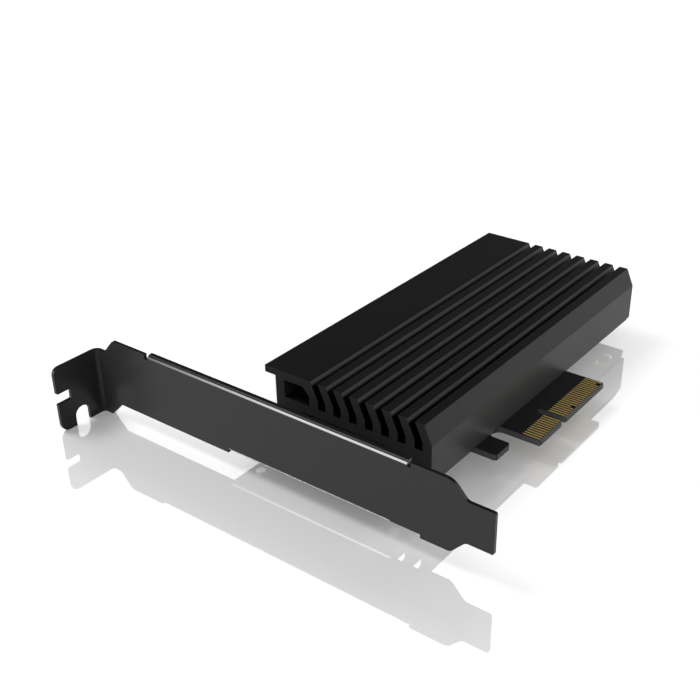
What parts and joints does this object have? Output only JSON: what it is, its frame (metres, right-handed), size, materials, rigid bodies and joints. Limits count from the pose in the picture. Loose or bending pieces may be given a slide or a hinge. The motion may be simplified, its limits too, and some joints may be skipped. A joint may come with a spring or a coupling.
{
  "type": "nvme adapter card",
  "caption": "Expansion card that holds a solid-state drive under a finned black heat sink, with a folded slot bracket and a keyed gold card edge.",
  "frame": {"origin": "below the middle of the part's box, on the surface that the lug's lower edge meets", "axes": "+X along the bracket from its lug to its tongue, which is also the way the card edge points; +Y from the bracket into the machine; +Z from the board to the heat sink"},
  "size_m": [0.12, 0.134, 0.0226],
  "materials": {
    "bracket_paint": "satin black powder coat",
    "board_mask": "black solder mask on glass-fibre board",
    "contact_gold": "gold-plated contacts",
    "plated_gold": "gold-plated rings and barrels",
    "copper_area": "bare plated copper",
    "capacitor_body": "fired ceramic",
    "solder_tin": "tinned ends",
    "heat_sink_black": "black anodised extrusion",
    "black_screw": "black oxide",
    "steel_screw": "nickel plated",
    "thermal_pad": "soft silicone pad",
    "drive_mask": "green solder mask",
    "chip_plastic": "moulded chip package",
    "inductor_grey": "sintered powder",
    "small_parts": "ceramic with tinned ends",
    "socket_plastic": "moulded black plastic",
    "pin_metal": "tinned spring alloy",
    "nut_metal": "tinned"
  },
  "bodies": {
    "root": {"bracket": "bracket_paint", "circuit_board": "board_mask", "component_edge_contacts": "contact_gold", "solder_edge_contacts": "contact_gold", "plated_slots": "plated_gold", "spare_hole_rings": "plated_gold", "copper_area": "copper_area", "capacitor_bodies": "capacitor_body", "capacitor_ends": "solder_tin", "heat_sink": "heat_sink_black", "heat_sink_screws": "black_screw", "bracket_screws": "steel_screw", "upper_thermal_pad": "thermal_pad", "lower_thermal_pad": "thermal_pad", "drive_board": "drive_mask", "drive_contacts": "contact_gold", "flash_chip_near": "chip_plastic", "flash_chip_far": "chip_plastic", "controller_chip": "chip_plastic", "power_chip": "chip_plastic", "drive_inductors": "inductor_grey", "drive_small_parts": "small_parts", "socket_housing": "socket_plastic", "socket_front_pins": "pin_metal", "socket_rear_pins": "pin_metal", "retaining_nut": "nut_metal", "drive_screw": "steel_screw"}
  },
  "joints": []
}
